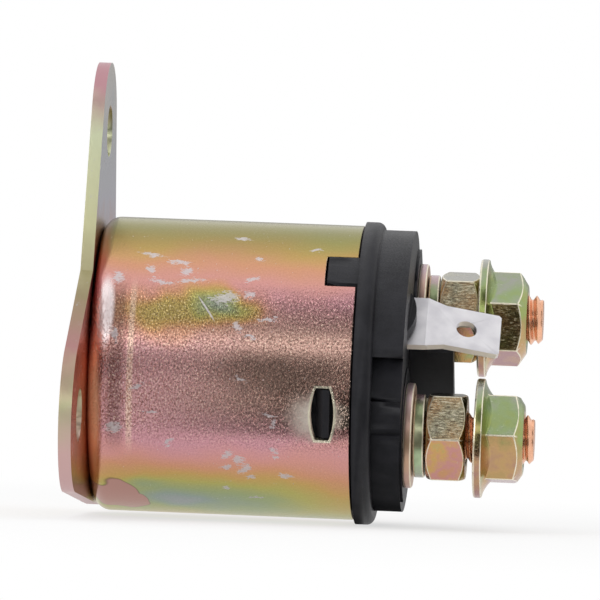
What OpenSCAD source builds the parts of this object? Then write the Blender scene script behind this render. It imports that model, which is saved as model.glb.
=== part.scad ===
// Starter solenoid relay on a two-eared mounting plate, in millimetres.
// The can's axis is X, with the terminals toward +X. +Z is up, toward the long ear.
// The origin is on the can's axis, at the back face of the mounting plate.

/* [Mounting plate] */
// Thickness of the plate
plate_t = 1.5; // [1.2:0.1:2.5]
// Radius of the plate behind the can
plate_r = 16.8; // [14:0.1:17.2]
// Distance of the upper ear's hole from the can's axis
ear_up_reach = 27.8; // [26:0.1:40]
// Distance of the side ear's hole from the can's axis
ear_side_reach = 24.7; // [23:0.1:40]
// Angle of the side ear below the horizontal
ear_side_tilt = 14; // [0:0.5:30]
// Radius of the upper ear's round end
ear_r = 8.2; // [6:0.1:9]
// Radius of the side ear's round end
ear_side_r = 9.1; // [6:0.1:10]
// Diameter of the mounting hole in each ear
ear_hole_d = 6.2; // [5:0.1:8]

/* [Can] */
// Outer diameter of the can
can_d = 35.2; // [35:0.1:36]
// Length of the can from its floor to its rim
can_l = 31.2; // [31:0.1:34]
// Thickness of the can's wall and floor
can_wall = 1.2; // [1:0.05:1.2]
// Outer corner radius of the can's floor
can_corner_r = 2; // [1.3:0.1:3]
// Width of each latch slot along the axis
slot_w = 2.15; // [2:0.05:2.4]
// Length of each latch slot round the can
slot_l = 6.4; // [6:0.1:8]
// Radius of the bowed long sides of a latch slot
slot_bow_r = 9; // [8:0.5:20]
// Metal left between a latch slot and the rim
slot_strip = 2.2; // [2:0.1:2.6]

/* [Terminal cap] */
// Turn of the terminals about the can's axis, from the horizontal
terminal_turn = 43.5; // [0:0.5:90]
// Diameter of the cap's rim
rim_d = 36.2; // [36:0.1:38]
// Thickness of the cap's rim
rim_t = 2.2; // [2:0.1:3]
// Radius of the rim's front corner
rim_round = 0.9; // [0.5:0.1:1.2]
// Open gap between the can's rim and the cap's rim
rim_gap = 0.2; // [0.1:0.05:0.4]
// Diameter of the cap's raised body
body_d = 33.6; // [33:0.1:34.5]
// Offset of the body from the can's axis, toward the key
body_off = 0.6; // [0:0.05:0.8]
// Height of the cap's body in front of its rim
body_h = 3.55; // [3.3:0.05:5]
// Slope of the body's face, from its top down to its bottom
face_slope = 0.7; // [0:0.1:1]
// Thickness of the cap's roof round the studs
roof_t = 4.4; // [4:0.1:5.5]
// Wall of the skirt that goes into the can
skirt_wall = 1.8; // [1.4:0.1:1.8]
// Clearance between the skirt and the can
skirt_clear = 0.2; // [0.1:0.05:0.2]
// Width of the key over the can's rim
key_w = 4.2; // [3:0.1:5]
// Length of the key behind the cap's rim
key_l = 3.65; // [3:0.05:4]
// Height of the key's top above the can's surface
key_rise = 0.2; // [0.1:0.05:0.25]
// Clearance round the key and the latches
key_clear = 0.25; // [0.15:0.05:0.3]
// Height of a latch's ledge above the skirt
latch_rise = 0.9; // [0.6:0.05:1]
// Depth of the stepped pocket in the side of the body
pocket_depth = 0.8; // [0.4:0.1:1]
// Depth of the pocket's shallow lower half
pocket_low_depth = 0.55; // [0.2:0.05:0.7]
// Half of the pocket's angle round the body
pocket_half = 16; // [12:1:20]
// Angle between the key and the middle of the pocket
pocket_at = 52.5; // [50:0.5:60]
// Angle of the pocket's shallow lower half
pocket_low_angle = 14; // [8:1:18]

/* [Barrier and pads] */
// Thickness of the barrier between the studs
barrier_t = 2; // [1.5:0.1:2.6]
// Height of the barrier
barrier_h = 5.3; // [3:0.1:8]
// Reach of the barrier from the axis on the key's side
barrier_near = 5.2; // [3:0.1:5.4]
// Reach of the barrier from the axis on the far side
barrier_far = 13; // [6:0.1:14]
// Height of the barrier's low step
step_h = 2; // [1:0.1:3]
// Reach of the low step from the axis
step_near = 7.4; // [6:0.1:7.6]
// Diameter of the pad under each flat washer
pad_d = 16; // [12.6:0.1:16.4]
// Height of the pad
pad_h = 0.5; // [0.4:0.05:1]
// Body left round the pads
pad_inset = 0.3; // [0.1:0.05:0.5]
// How much lower the pad and nuts of the near stud sit
near_drop = 0.35; // [0:0.05:0.35]
// Thickness of the arched rib beside the blade
arch_t = 1.4; // [1:0.1:1.8]
// Width of the arched rib
arch_w = 6.6; // [4:0.1:7]
// Height of the arched rib
arch_h = 0.95; // [0.4:0.05:1.6]
// Distance between the arched rib and the blade
arch_gap = 0.2; // [0.1:0.05:0.4]

/* [Studs and nuts] */
// Distance between the two studs
stud_spacing = 19.6; // [19:0.1:20]
// Thread diameter of the studs
stud_d = 6; // [5:0.1:6]
// Height of the studs above the cap's face
stud_h = 15.45; // [15:0.05:18]
// Chamfer at the end of a stud
stud_chamfer = 0.5; // [0.3:0.1:0.8]
// Diameter of the stud's head inside the cap
head_d = 9; // [8:0.1:9.4]
// Thickness of the stud's head
head_t = 2.6; // [2:0.1:3]
// Width of the square neck under the head
neck_w = 6.4; // [6.1:0.1:6.6]
// Length of the square neck
neck_l = 2; // [1:0.1:3]
// Clearance of the stud in the cap
stud_clear = 0.05; // [0.03:0.01:0.1]
// Outer diameter of the flat washers
washer_d = 12.5; // [12:0.1:12.6]
// Thickness of the flat washers
washer_t = 1; // [0.8:0.1:1.2]
// Hole clearance of the washers on the stud
washer_clear = 0.2; // [0.1:0.05:0.3]
// Outer diameter of the spring washers
lock_d = 9.9; // [9.4:0.1:11]
// Thickness of the spring washers
lock_t = 1.6; // [1.2:0.1:1.6]
// Width of the split in a spring washer
lock_split = 0.8; // [0.4:0.1:1.2]
// Slant of the split
lock_slant = 25; // [0:5:35]
// Width across the flats of the nuts
nut_af = 10; // [9.5:0.1:10.2]
// Height of the plain hexagon nuts
nut_h = 4.7; // [4.5:0.1:5]
// Outer diameter of the flange nuts
flange_d = 14.2; // [13:0.1:14.4]
// Height of the flange nuts
flange_nut_h = 5.8; // [5.5:0.1:6]
// Thickness of the flange at its edge
flange_edge = 0.6; // [0.5:0.1:1.4]
// Height of the cone over the flange
flange_cone = 0.8; // [0.5:0.1:1.2]
// Angle of the hexagons' corner chamfer
nut_chamfer_angle = 30; // [20:1:35]
// Free gap under the near stud's flange nut
near_gap = 1; // [0:0.1:1.2]
// Turn of the near and far plain nuts
nut_turns = [-3, -11];
// Turn of the near and far flange nuts
flange_turns = [5, 19];

/* [Blade terminal] */
// Thickness of the blade
blade_t = 0.8; // [0.6:0.05:1]
// Width of the blade's root
root_w = 7.7; // [6.5:0.1:8]
// Length of the root above the cap's face
root_l = 2.1; // [1.5:0.1:3]
// Width of the blade
blade_w = 6.3; // [4.8:0.1:6.3]
// Length of the blade past its root
blade_l = 8.9; // [8:0.1:10]
// Bend of the blade toward the can's axis
blade_bend = 12.5; // [0:0.5:14]
// Distance of the blade from the can's axis
blade_at = 9; // [8.5:0.1:9.2]
// Diameter of the hole in the blade
blade_hole_d = 2.5; // [1.6:0.1:2.6]
// Distance of the hole from the blade's end
blade_hole_at = 4.1; // [3:0.1:5]
// Corner cut at the end of the blade
blade_corner = 0.3; // [0.2:0.1:1]
// Width of the blade's tail inside the cap
tail_w = 4; // [2:0.1:5]
// Length of the tail below the cap's roof
tail_l = 1.35; // [1:0.05:1.6]

/* [Coil] */
// Length of the bobbin
bobbin_l = 18.5; // [18:0.1:18.5]
// Diameter of the bobbin's flanges
bobbin_d = 31.6; // [30:0.1:32]
// Thickness of the bobbin's flanges
bobbin_flange_t = 1.2; // [0.8:0.1:1.6]
// Wall of the bobbin's hub
hub_wall = 0.9; // [0.6:0.1:1.2]
// Outer diameter of the copper winding
winding_d = 27.6; // [24:0.1:28]
// Thickness of the insulating tape
tape_t = 0.3; // [0.1:0.05:0.4]
// Diameter of the coil's lead wires
lead_d = 0.7; // [0.5:0.1:0.8]
// Distance of the leads from the can's axis
lead_at = 13.2; // [13.1:0.05:13.3]
// Clearance round the leads
lead_clear = 0.25; // [0.1:0.05:0.4]
// Thickness of the flux plate
flux_t = 2; // [1.5:0.1:2]
// Clearance between the flux plate and the can
flux_clear = 0.1; // [0.05:0.05:0.2]
// Thickness of the sealing gasket
gasket_t = 0.8; // [0.5:0.1:0.8]

/* [Plunger and contacts] */
// Diameter of the plunger
plunger_d = 10; // [9:0.1:10]
// Length of the plunger
plunger_l = 9.5; // [8:0.1:9.5]
// Free gap between the plunger and the core
plunger_gap = 3; // [2.6:0.1:3.4]
// Running clearance of the plunger in the tube
tube_clear = 0.05; // [0.02:0.01:0.08]
// Wall of the guide tube
tube_wall = 0.4; // [0.3:0.05:0.5]
// Diameter of the core's spigot in the flux plate
spigot_d = 8.4; // [7:0.1:9]
// Diameter of the push rod
rod_d = 2.5; // [2:0.1:2.5]
// Clearance of the rod in the core
rod_clear = 0.35; // [0.2:0.05:0.4]
// Depth of the rod in the plunger
rod_seat = 8.5; // [7:0.1:8.5]
// Diameter of the rod's collar
collar_d = 6.2; // [5.8:0.1:6.6]
// Thickness of the rod's collar
collar_t = 0.5; // [0.4:0.05:0.6]
// Gap between the collar and the core
collar_gap = 0.25; // [0.2:0.05:0.4]
// Outer diameter of both springs
spring_d = 5.4; // [5:0.1:5.4]
// Wire diameter of both springs
wire_d = 0.6; // [0.4:0.05:0.7]
// Clearance of the return spring in its seats
seat_clear = 0.2; // [0.1:0.05:0.3]
// Depth of the return spring's seat in the plunger
plunger_seat = 4; // [3:0.1:5]
// Depth of the return spring's seat in the core
core_seat = 2; // [1:0.1:3]
// Gap between the contact disc and the stud heads
contact_gap = 2.2; // [1.8:0.1:2.2]
// Diameter of the contact disc
disc_d = 24.8; // [24:0.1:25]
// Thickness of the contact disc
disc_t = 1.5; // [1:0.1:1.6]
// Diameter of the insulating bushes' hubs
bush_hub_d = 4.4; // [4:0.1:5]
// Diameter of the insulating bushes' flanges
bush_flange_d = 8; // [7:0.1:8.4]
// Thickness of the insulating bushes' flanges
bush_t = 1; // [0.8:0.1:1]
// Running clearance of the bushes on the rod
bush_clear = 0.05; // [0.02:0.01:0.08]
// Outer diameter of the retaining clip
clip_d = 5; // [4.5:0.1:5.4]
// Thickness of the retaining clip
clip_t = 0.5; // [0.4:0.1:0.6]
// Depth of the clip's groove in the rod
clip_groove = 0.3; // [0.2:0.05:0.35]
// Opening of the clip
clip_open = 1.5; // [1.2:0.1:1.6]
// Rod left in front of the clip
rod_tip = 0.7; // [0.5:0.1:0.8]

/* [Hidden] */

$fn = 96;
// Overlap that lets a cut run clear of a face
cut = 1;
// Depth at which a straight side runs into a round end
seam = 0.03;

can_r = can_d / 2;
can_in_r = can_r - can_wall;
can_floor = plate_t + can_wall;
can_rim = plate_t + can_l;
slot_at = can_rim - slot_strip - slot_w / 2;

rim_back = can_rim + rim_gap;
rim_front = rim_back + rim_t;
cap_face = rim_front + body_h;
roof_in = cap_face - roof_t;
skirt_r = can_in_r - skirt_clear;
chamber_r = skirt_r - skirt_wall;
key_r = can_r + key_rise;
latch_angles = [60, 180, 300];

stud_r = stud_d / 2;
stud_end = cap_face + stud_h;
stud_sides = [-1, 1];
head_back = roof_in - head_t;
washer_back = cap_face + pad_h;
lock_back = washer_back + washer_t;
nut_back = lock_back + lock_t;
flange_back = nut_back + nut_h;
washer_hole_r = stud_r + washer_clear;

bobbin_front = can_floor + bobbin_l;
flux_front = bobbin_front + flux_t;
skirt_back = flux_front + gasket_t;
plunger_r = plunger_d / 2;
tube_in_r = plunger_r + tube_clear;
tube_out_r = tube_in_r + tube_wall;
bobbin_bore_r = tube_out_r + tube_clear;
hub_r = bobbin_bore_r + hub_wall;
winding_r = winding_d / 2;
lead_hole_r = lead_d / 2 + lead_clear;

plunger_front = can_floor + plunger_l;
core_back = plunger_front + plunger_gap;
seat_r = spring_d / 2 + seat_clear;
rod_back = plunger_front - rod_seat;
collar_back = flux_front + collar_gap;
collar_front = collar_back + collar_t;
disc_front = head_back - contact_gap;
disc_back = disc_front - disc_t;
disc_middle = (disc_front + disc_back) / 2;
bush_back = disc_back - bush_t;
bush_front = disc_front + bush_t;
clip_front = bush_front + clip_t;
rod_front = clip_front + rod_tip;
lead_turn_at = roof_in - lead_d;

// A round bar along X
module bar(x0, x1, r, fn = $fn) {
    translate([x0, 0, 0])
        rotate([0, 90, 0])
            cylinder(h = x1 - x0, r = r, $fn = fn);
}

// A round tube along X
module tube(x0, x1, r, bore_r) {
    difference() {
        bar(x0, x1, r);
        bar(x0 - cut, x1 + cut, bore_r);
    }
}

// Turns its children from the -Y side up toward +Z, round the can's axis
module turned(angle) {
    rotate([-angle, 0, 0])
        children();
}

// The terminals' own frame: -Y points at the key, and the studs lie along Z
module terminal_frame() {
    turned(terminal_turn)
        children();
}

// Places its children on each stud's axis, with the stud's side as a special value
module on_studs() {
    terminal_frame()
        for (side = stud_sides)
            translate([0, 0, side * stud_spacing / 2])
                rotate([terminal_turn, 0, 0]) {
                    $stud = side;
                    children();
                }
}

// Places its children on each stud's axis, with the near stud's a little lower
module on_pads() {
    on_studs()
        translate([$stud < 0 ? -near_drop : 0, 0, 0])
            children();
}

// An outline in (distance, height) drawn radially, pulled along the width
module radial_prism(width, points) {
    translate([0, 0, -width / 2])
        linear_extrude(height = width)
            polygon([for (p = points) [p[0], -p[1]]]);
}

// One ear of the plate along -Y: its round end and the sides that run onto the round base
module ear(reach, round_r) {
    lean = asin((plate_r - round_r) / reach);
    side_y = cos(lean);
    side_x = sin(lean);
    base_r = plate_r - seam;
    end_r = round_r - seam;
    translate([0, -reach, 0])
        bar(0, plate_t, round_r);
    linear_x(0, plate_t)
        polygon([
            [0, base_r / side_y],
            [reach + end_r * side_x, end_r * side_y],
            [reach + end_r * side_x, -end_r * side_y],
            [0, -base_r / side_y]
        ]);
}

module mounting_bracket() {
    color("darkkhaki")
        difference() {
            union() {
                bar(0, plate_t, plate_r);
                turned(90)
                    ear(ear_up_reach, ear_r);
                turned(-ear_side_tilt)
                    ear(ear_side_reach, ear_side_r);
            }
            turned(90)
                translate([0, -ear_up_reach, 0])
                    bar(-cut, plate_t + cut, ear_hole_d / 2);
            turned(-ear_side_tilt)
                translate([0, -ear_side_reach, 0])
                    bar(-cut, plate_t + cut, ear_hole_d / 2);
        }
}

// A can's outline in (radius, height), closed at the bottom with a round corner
module cup_profile(r, corner, h) {
    square([r - corner, h]);
    translate([0, corner])
        square([r, h - corner]);
    translate([r - corner, corner])
        circle(r = corner);
}

// A slot through the can's wall with bowed long sides
module latch_slot() {
    bow_out = slot_bow_r - slot_w / 2;
    translate([slot_at, 0, 0])
        rotate([90, 0, 0])
            linear_extrude(height = can_r + cut)
                intersection() {
                    translate([bow_out, 0])
                        circle(r = slot_bow_r + slot_w / 8);
                    translate([-bow_out, 0])
                        circle(r = slot_bow_r + slot_w / 8);
                    square([2 * slot_w, slot_l], center = true);
                }
}

module can_housing() {
    notch_w = key_w + 2 * key_clear;
    notch_l = key_l + key_clear - rim_gap;
    color("tan")
        difference() {
            translate([plate_t, 0, 0])
                rotate([0, 90, 0])
                    rotate_extrude()
                        intersection() {
                            difference() {
                                cup_profile(can_r, can_corner_r, can_l);
                                translate([0, can_wall])
                                    cup_profile(can_in_r, can_corner_r - can_wall, can_l);
                            }
                            square([can_r, can_l]);
                        }
            terminal_frame() {
                translate([can_rim - notch_l, -can_r - cut, -notch_w / 2])
                    cube([notch_l + cut, can_r / 2 + cut, notch_w]);
                for (angle = latch_angles)
                    turned(angle)
                        latch_slot();
            }
        }
}

module coil_bobbin() {
    color("ivory")
        difference() {
            union() {
                bar(can_floor, bobbin_front, hub_r);
                bar(can_floor, can_floor + bobbin_flange_t, bobbin_d / 2);
                bar(bobbin_front - bobbin_flange_t, bobbin_front, bobbin_d / 2);
            }
            bar(can_floor - cut, bobbin_front + cut, bobbin_bore_r);
            terminal_frame()
                for (side = [-1, 1])
                    translate([0, side * lead_at, 0])
                        bar(bobbin_front - bobbin_flange_t - cut, bobbin_front + cut, lead_hole_r, 48);
        }
}

module coil_winding() {
    color("chocolate")
        tube(can_floor + bobbin_flange_t, bobbin_front - bobbin_flange_t, winding_r, hub_r);
}

module coil_tape() {
    color("gold")
        tube(can_floor + bobbin_flange_t, bobbin_front - bobbin_flange_t, winding_r + tape_t, winding_r);
}

module guide_tube() {
    color("goldenrod")
        tube(can_floor, bobbin_front, tube_out_r, tube_in_r);
}

module fixed_core() {
    color("silver")
        difference() {
            union() {
                bar(core_back, bobbin_front, plunger_r);
                bar(bobbin_front, flux_front, spigot_d / 2);
            }
            bar(core_back - cut, flux_front + cut, rod_d / 2 + rod_clear);
            bar(core_back - cut, core_back + core_seat, seat_r);
        }
}

module flux_plate() {
    color("lightsteelblue")
        difference() {
            bar(bobbin_front, flux_front, can_in_r - flux_clear);
            bar(bobbin_front - cut, flux_front + cut, spigot_d / 2);
            terminal_frame()
                translate([0, -lead_at, 0])
                    bar(bobbin_front - cut, flux_front + cut, lead_hole_r, 48);
        }
}

module sealing_gasket() {
    color("dimgray")
        tube(flux_front, skirt_back, skirt_r, chamber_r);
}

// The cap's rim, with a round front corner
module cap_rim() {
    translate([rim_back, 0, 0])
        rotate([0, 90, 0])
            rotate_extrude() {
                square([rim_d / 2, rim_t - rim_round]);
                square([rim_d / 2 - rim_round, rim_t]);
                translate([rim_d / 2 - rim_round, rim_t - rim_round])
                    circle(r = rim_round);
            }
}

// A bar of the body's own outline, less a margin all round
module body_bar(x0, x1, less = 0) {
    terminal_frame()
        translate([0, -body_off, 0])
            bar(x0, x1, body_d / 2 - less);
}

// The cap's raised body, cut off by its sloping face
module cap_body() {
    difference() {
        body_bar(roof_in, cap_face + cut);
        translate([cap_face, 0, 0])
            rotate([0, face_slope, 0])
                translate([0, -rim_d, -rim_d])
                    cube([3 * cut, 2 * rim_d, 2 * rim_d]);
    }
}

// The pads under the washers, cut off a little inside the body's edge
module stud_pads() {
    intersection() {
        on_pads()
            bar(cap_face + near_drop - cut, cap_face + pad_h, pad_d / 2);
        body_bar(roof_in, cap_face + 2 * cut, pad_inset);
    }
}

// A wedge that snaps into a slot of the can
module latch() {
    back = slot_at - slot_w / 2 + key_clear;
    front = slot_at + slot_w / 2 - key_clear;
    radial_prism(slot_l - 2 * key_clear, [
        [back, skirt_r - skirt_wall / 2],
        [back, skirt_r],
        [slot_at, skirt_r + latch_rise],
        [front, skirt_r + latch_rise],
        [front, skirt_r - skirt_wall / 2]
    ]);
}

// The key over the can's rim
module cap_key() {
    intersection() {
        translate([rim_back - key_l, -key_r - cut, -key_w / 2])
            cube([key_l + cut, key_r - skirt_r + skirt_wall / 2 + cut, key_w]);
        bar(rim_back - key_l - cut, rim_back + 2 * cut, key_r);
    }
}

// A shallow pocket in the side of the body between two angles below the key
module side_pocket(from, to, depth) {
    half = (to - from) / 2;
    far_r = rim_d / 2;
    difference() {
        turned(-(from + to) / 2)
            linear_x(rim_front, cap_face + cut)
                polygon([[0, 0], [far_r, far_r * tan(half)], [far_r, -far_r * tan(half)]]);
        translate([0, -body_off, 0])
            bar(rim_front - cut, cap_face + 2 * cut, body_d / 2 - depth);
    }
}

// Pulls an outline along X: its first axis points to -Y and its second to +Z
module linear_x(x0, x1) {
    translate([x0, 0, 0])
        mirror([0, 1, 0])
            rotate([90, 0, 90])
                linear_extrude(height = x1 - x0)
                    children();
}

// The wall between the studs, with its low step toward the blade
module barrier() {
    translate([cap_face - cut, -barrier_near, -barrier_t / 2])
        cube([barrier_h + cut, barrier_near + barrier_far, barrier_t]);
    translate([cap_face - cut, -step_near, -barrier_t / 2])
        cube([step_h + cut, step_near, barrier_t]);
}

// The arched rib on the outer side of the blade
module arch() {
    bow_r = (arch_w * arch_w / 4 + arch_h * arch_h) / (2 * arch_h);
    near = blade_at + blade_t / 2 + arch_gap;
    translate([cap_face, -near - arch_t, 0])
        rotate([-90, 0, 0])
            linear_extrude(height = arch_t)
                intersection() {
                    translate([arch_h - bow_r, 0])
                        circle(r = bow_r);
                    translate([-cut / 2, -arch_w / 2])
                        square([arch_h + cut, arch_w]);
                }
}

module terminal_cap() {
    pocket_from = pocket_at - pocket_half;
    pocket_to = pocket_at + pocket_half;
    color("#2b2b2f")
        difference() {
            union() {
                bar(skirt_back, rim_back + rim_t / 2, skirt_r);
                cap_rim();
                cap_body();
                stud_pads();
                terminal_frame() {
                    cap_key();
                    barrier();
                    arch();
                    for (angle = latch_angles)
                        turned(angle)
                            latch();
                }
            }
            bar(skirt_back - cut, roof_in, chamber_r);
            on_studs()
                bar(roof_in - cut, cap_face + pad_h + cut, stud_r + stud_clear);
            on_studs()
                neck(neck_w / 2 + stud_clear, cut);
            terminal_frame() {
                translate([roof_in - cut, -blade_at - blade_t / 2 - stud_clear, -tail_w / 2 - stud_clear])
                    cube([roof_t + 2 * cut, blade_t + 2 * stud_clear, tail_w + 2 * stud_clear]);
                translate([cap_face, -blade_at - blade_t / 2 - stud_clear, -root_w / 2 - stud_clear])
                    cube([cut, blade_t + 2 * stud_clear, root_w + 2 * stud_clear]);
                side_pocket(pocket_to - pocket_low_angle - 1, pocket_to, pocket_low_depth);
                side_pocket(pocket_from, pocket_to - pocket_low_angle, pocket_depth);
            }
        }
}

// The square neck that keeps a stud from turning
module neck(half, below = 0) {
    rotate([-terminal_turn, 0, 0])
        translate([roof_in - below, -half, -half])
            cube([neck_l + below, 2 * half, 2 * half]);
}

module contact_studs() {
    color("peru")
        on_studs() {
            bar(head_back, roof_in, head_d / 2);
            neck(neck_w / 2);
            bar(roof_in, stud_end - stud_chamfer, stud_r);
            translate([stud_end - stud_chamfer, 0, 0])
                rotate([0, 90, 0])
                    cylinder(h = stud_chamfer, r1 = stud_r, r2 = stud_r - stud_chamfer);
        }
}

module flat_washers() {
    color("khaki")
        on_pads()
            tube(washer_back, lock_back, washer_d / 2, washer_hole_r);
}

module spring_washers() {
    color("darkseagreen")
        on_pads()
            difference() {
                tube(lock_back, nut_back, lock_d / 2, washer_hole_r);
                turned($stud * 70 + 180)
                    translate([(lock_back + nut_back) / 2, -lock_d / 2, 0])
                        rotate([0, lock_slant, 0])
                            cube([3 * lock_t, lock_d - stud_d + cut, lock_split], center = true);
            }
}

// A hexagon nut with its corners chamfered at both or only the far face
module hexagon(x0, x1, both) {
    corner_r = nut_af / sqrt(3);
    drop = (corner_r - nut_af / 2) * tan(nut_chamfer_angle);
    far_r = nut_af / 2 * 0.95;
    height = x1 - x0;
    lift = (corner_r - far_r) * tan(nut_chamfer_angle);
    intersection() {
        bar(x0, x1, corner_r, 6);
        translate([x0, 0, 0])
            rotate([0, 90, 0])
                rotate_extrude()
                    polygon([
                        [0, 0],
                        [both ? far_r : corner_r + drop, 0],
                        [corner_r + drop, both ? lift + drop * tan(nut_chamfer_angle) : 0],
                        [corner_r + drop, height - lift - drop * tan(nut_chamfer_angle)],
                        [far_r, height],
                        [0, height]
                    ]);
    }
}

module hex_nuts() {
    color("burlywood")
        on_pads()
            difference() {
                turned(nut_turns[$stud < 0 ? 0 : 1] + 90)
                    hexagon(nut_back, flange_back, true);
                bar(nut_back - cut, flange_back + cut, stud_r);
            }
}

// A flange nut that starts at x0
module flange_nut(x0) {
    cone_r = nut_af / sqrt(3);
    translate([x0, 0, 0])
        rotate([0, 90, 0])
            rotate_extrude()
                polygon([
                    [0, 0],
                    [flange_d / 2 - flange_edge / 3, 0],
                    [flange_d / 2, flange_edge / 3],
                    [flange_d / 2, flange_edge * 2 / 3],
                    [flange_d / 2 - flange_edge / 3, flange_edge],
                    [cone_r, flange_edge + flange_cone],
                    [0, flange_edge + flange_cone]
                ]);
    hexagon(x0 + flange_edge, x0 + flange_nut_h, false);
}

module flange_nuts() {
    color("darkkhaki")
        on_pads() {
            x0 = flange_back + ($stud < 0 ? near_gap : 0);
            difference() {
                turned(flange_turns[$stud < 0 ? 0 : 1] + 90)
                    flange_nut(x0);
                bar(x0 - cut, x0 + flange_nut_h + cut, stud_r);
            }
        }
}

// The blade's tongue past the root, from the bend out
module tongue() {
    rotate([90, 0, 0])
        linear_extrude(height = blade_t, center = true)
            difference() {
                polygon([
                    [0, -root_w / 2],
                    [blade_l / 4, -blade_w / 2],
                    [blade_l - blade_corner, -blade_w / 2],
                    [blade_l, -blade_w / 2 + blade_corner],
                    [blade_l, blade_w / 2 - blade_corner],
                    [blade_l - blade_corner, blade_w / 2],
                    [blade_l / 4, blade_w / 2],
                    [0, root_w / 2]
                ]);
                translate([blade_l - blade_hole_at, 0])
                    circle(d = blade_hole_d);
            }
}

module blade_terminal() {
    color("gainsboro")
        terminal_frame()
            translate([cap_face, -blade_at, 0]) {
                translate([-roof_t - tail_l, -blade_t / 2, -tail_w / 2])
                    cube([roof_t + tail_l + cut, blade_t, tail_w]);
                translate([0, -blade_t / 2, -root_w / 2])
                    cube([root_l, blade_t, root_w]);
                translate([root_l, 0, 0]) {
                    rotate([0, 0, blade_bend])
                        tongue();
                    translate([0, 0, -root_w / 2])
                        cylinder(h = root_w, d = blade_t);
                }
            }
}

module coil_lead() {
    color("orangered")
        terminal_frame() {
            translate([0, -lead_at, 0])
                bar(bobbin_front - bobbin_flange_t, lead_turn_at, lead_d / 2, 24);
            translate([lead_turn_at, -lead_at, 0])
                sphere(d = lead_d, $fn = 24);
            translate([lead_turn_at, -blade_at - blade_t / 2, 0])
                rotate([90, 0, 0])
                    cylinder(h = lead_at - blade_at - blade_t / 2, d = lead_d, $fn = 24);
        }
}

module earth_lead() {
    color("orangered")
        terminal_frame()
            translate([0, lead_at, 0])
                bar(bobbin_front - bobbin_flange_t, bobbin_front, lead_d / 2, 24);
}

module plunger() {
    color("slategray")
        difference() {
            bar(can_floor, plunger_front, plunger_r);
            bar(rod_back, plunger_front + cut, rod_d / 2);
            bar(plunger_front - plunger_seat, plunger_front + cut, seat_r);
        }
}

module push_rod() {
    groove_r = rod_d / 2 - clip_groove;
    color("lightgray") {
        bar(rod_back, bush_front, rod_d / 2);
        bar(bush_front, clip_front, groove_r);
        bar(clip_front, rod_front, rod_d / 2);
        bar(collar_back, collar_front, collar_d / 2);
    }
}

module rod_clip() {
    color("dimgray")
        difference() {
            tube(bush_front, clip_front, clip_d / 2, rod_d / 2 - clip_groove);
            translate([bush_front - cut, 0, -clip_open / 2])
                cube([clip_t + 2 * cut, clip_d, clip_open]);
        }
}

module return_spring() {
    color("gray")
        tube(plunger_front - plunger_seat, core_back + core_seat, spring_d / 2, spring_d / 2 - wire_d);
}

module contact_spring() {
    color("gray")
        tube(collar_front, bush_back, spring_d / 2, spring_d / 2 - wire_d);
}

module contact_disc() {
    color("coral")
        tube(disc_back, disc_front, disc_d / 2, bush_hub_d / 2);
}

module rear_bush() {
    color("saddlebrown")
        difference() {
            union() {
                bar(bush_back, disc_back, bush_flange_d / 2);
                bar(disc_back, disc_middle, bush_hub_d / 2);
            }
            bar(bush_back - cut, disc_middle + cut, rod_d / 2 + bush_clear);
        }
}

module front_bush() {
    color("saddlebrown")
        difference() {
            union() {
                bar(disc_middle, disc_front, bush_hub_d / 2);
                bar(disc_front, bush_front, bush_flange_d / 2);
            }
            bar(disc_middle - cut, bush_front + cut, rod_d / 2 + bush_clear);
        }
}

mounting_bracket();
can_housing();
coil_bobbin();
coil_winding();
coil_tape();
guide_tube();
fixed_core();
flux_plate();
sealing_gasket();
terminal_cap();
contact_studs();
flat_washers();
spring_washers();
hex_nuts();
flange_nuts();
blade_terminal();
coil_lead();
earth_lead();
plunger();
push_rod();
rod_clip();
return_spring();
contact_spring();
contact_disc();
rear_bush();
front_bush();
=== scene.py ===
import math

import bmesh
import bpy
from mathutils import Matrix, Vector


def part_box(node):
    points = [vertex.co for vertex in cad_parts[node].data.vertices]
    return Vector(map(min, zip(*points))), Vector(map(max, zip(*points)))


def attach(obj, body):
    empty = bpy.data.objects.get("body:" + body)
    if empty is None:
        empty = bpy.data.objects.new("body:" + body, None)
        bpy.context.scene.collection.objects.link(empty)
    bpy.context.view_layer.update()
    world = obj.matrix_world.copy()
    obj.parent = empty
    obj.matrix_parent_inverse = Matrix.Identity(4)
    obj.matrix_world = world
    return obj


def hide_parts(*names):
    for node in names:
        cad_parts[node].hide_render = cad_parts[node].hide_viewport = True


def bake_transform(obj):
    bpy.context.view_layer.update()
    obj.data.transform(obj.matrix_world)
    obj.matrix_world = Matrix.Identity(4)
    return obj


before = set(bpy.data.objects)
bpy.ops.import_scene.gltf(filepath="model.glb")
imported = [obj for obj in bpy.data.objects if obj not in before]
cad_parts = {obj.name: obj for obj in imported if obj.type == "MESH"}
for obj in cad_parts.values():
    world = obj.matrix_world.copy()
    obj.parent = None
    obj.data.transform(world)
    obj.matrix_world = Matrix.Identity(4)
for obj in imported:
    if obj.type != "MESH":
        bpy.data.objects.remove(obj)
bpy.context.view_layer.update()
mm = 0.001
bpy.context.scene.view_settings.view_transform = "Standard"

# The camera stands almost square to the can, a little toward the terminals and a little turned.
camera = {
    "yaw": 4.0,  # degrees toward the terminals
    "roll": 2.25,  # degrees
    "distance": 900,  # mm from the target
    "pixelsPerMm": 8.35,
    "target": (23.72, 0, 0),  # mm
    "slideRight": -1.75,  # mm
    "slideUp": -8.38,  # mm
    "imageSize": 600,  # pixels
    "sensor": 36,  # mm
    "clip": (0.01, 20),  # metres
}


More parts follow.
